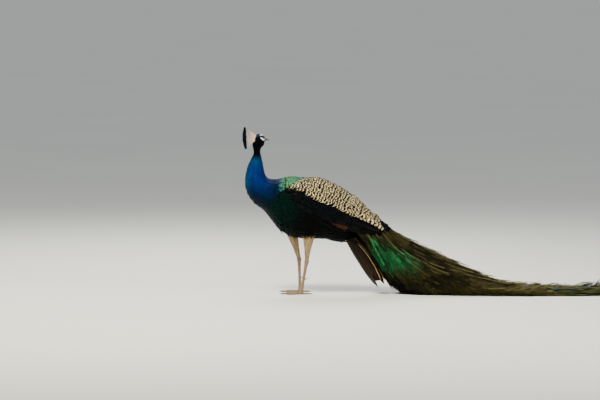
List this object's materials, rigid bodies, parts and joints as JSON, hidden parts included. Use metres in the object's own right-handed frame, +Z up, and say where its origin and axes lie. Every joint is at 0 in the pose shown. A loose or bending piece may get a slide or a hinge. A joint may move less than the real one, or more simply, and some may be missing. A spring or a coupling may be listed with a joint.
{
  "type": "peacock",
  "caption": "Life-size model of a standing male Indian peafowl that looks back past its shoulder, its long train laid on the floor behind it.",
  "frame": {"origin": "middle of the bounding box at floor level", "axes": "+Z up; the bird faces -X and its train runs towards +X; its left side is towards -Y"},
  "size_m": [1.8495, 0.3058, 0.728],
  "materials": {
    "head_feather": "short dark blue-black feathers with a blue gloss and bare white skin about the eye",
    "neck_feather": "glossy cobalt-blue feathers",
    "body_feather": "dark green-black feathers, golden green on the mantle",
    "wing_feather": "buff feathers with black bars, black secondaries",
    "primary_feather": "chestnut flight feathers",
    "train_feather": "loose bronze-green barbs with eye spots",
    "tail_feather": "dull brown feathers with pale shafts",
    "tibia_feather": "soft buff feathers",
    "crest_feather": "bare buff shafts with blue-black tips",
    "leg_scale": "grey-brown horny scales",
    "horn": "satin horn",
    "eye": "wet dark brown"
  },
  "bodies": {
    "root": {"head": "head_feather", "neck_upper": "head_feather", "neck_middle": "neck_feather", "neck_lower": "neck_feather", "breast": "neck_feather", "trunk": "body_feather", "wing_left": "wing_feather", "wing_right": "wing_feather", "primaries_left": "primary_feather", "primaries_right": "primary_feather", "train_root": "train_feather", "train_middle": "train_feather", "train_lower": "train_feather", "train_tip": "train_feather", "tail": "tail_feather", "tibia_left": "tibia_feather", "tibia_right": "tibia_feather", "crest": "crest_feather", "shank_left": "leg_scale", "shank_right": "leg_scale", "foot_left": "leg_scale", "foot_right": "leg_scale", "spur_left": "horn", "spur_right": "horn", "bill_upper": "horn", "bill_lower": "horn", "eye_left": "eye", "eye_right": "eye"}
  },
  "joints": []
}
